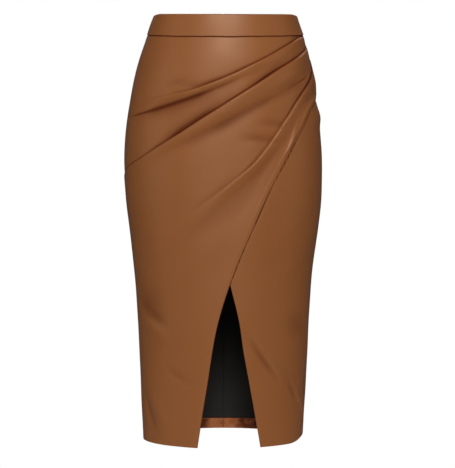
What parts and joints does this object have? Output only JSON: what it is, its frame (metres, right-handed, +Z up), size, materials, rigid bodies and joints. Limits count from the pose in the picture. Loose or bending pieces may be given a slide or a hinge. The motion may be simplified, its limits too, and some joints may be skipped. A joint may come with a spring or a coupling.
{
  "type": "faux leather wrap skirt",
  "caption": "Midi pencil skirt in faux leather with an asymmetric draped wrap front, a front slit and a plain waistband, hollow as worn.",
  "frame": {"origin": "middle of the waistband's height, on the middle line of the waist opening, where the wearer's waist holds the skirt", "axes": "+Z up the body, -Y out of the front, +X towards the side seam that catches the tucks, on the right as seen from the front"},
  "size_m": [0.3433, 0.2569, 0.74],
  "materials": {
    "faux_leather": "smooth brown polyurethane with a soft satin gloss",
    "turned_hem": "smooth brown polyurethane, turned up inside the hem",
    "lining": "black woven polyester with a faint sheen",
    "zip_tape": "dark brown woven tape",
    "zip_metal": "antique brass plating"
  },
  "bodies": {
    "skirt": {"waistband_front": "faux_leather", "waistband_back_left": "faux_leather", "waistband_back_right": "faux_leather", "front_wrap": "faux_leather", "front_under": "faux_leather", "back_left": "faux_leather", "back_right": "faux_leather", "lining_back_left": "lining", "lining_back_right": "lining", "hem_facing_back_left": "turned_hem", "hem_facing_back_right": "turned_hem", "zip_tape_left": "zip_tape", "zip_tape_right": "zip_tape", "zip_slider": "zip_metal"},
    "pull": {"zip_pull": "zip_metal"}
  },
  "joints": [
    {"name": "pull_swing", "type": "hinge", "parent": "skirt", "child": "pull", "pos_m": [0, 0.09954, 0.0141], "axis": [1, 0, 0], "range_deg": [0, 165]}
  ]
}
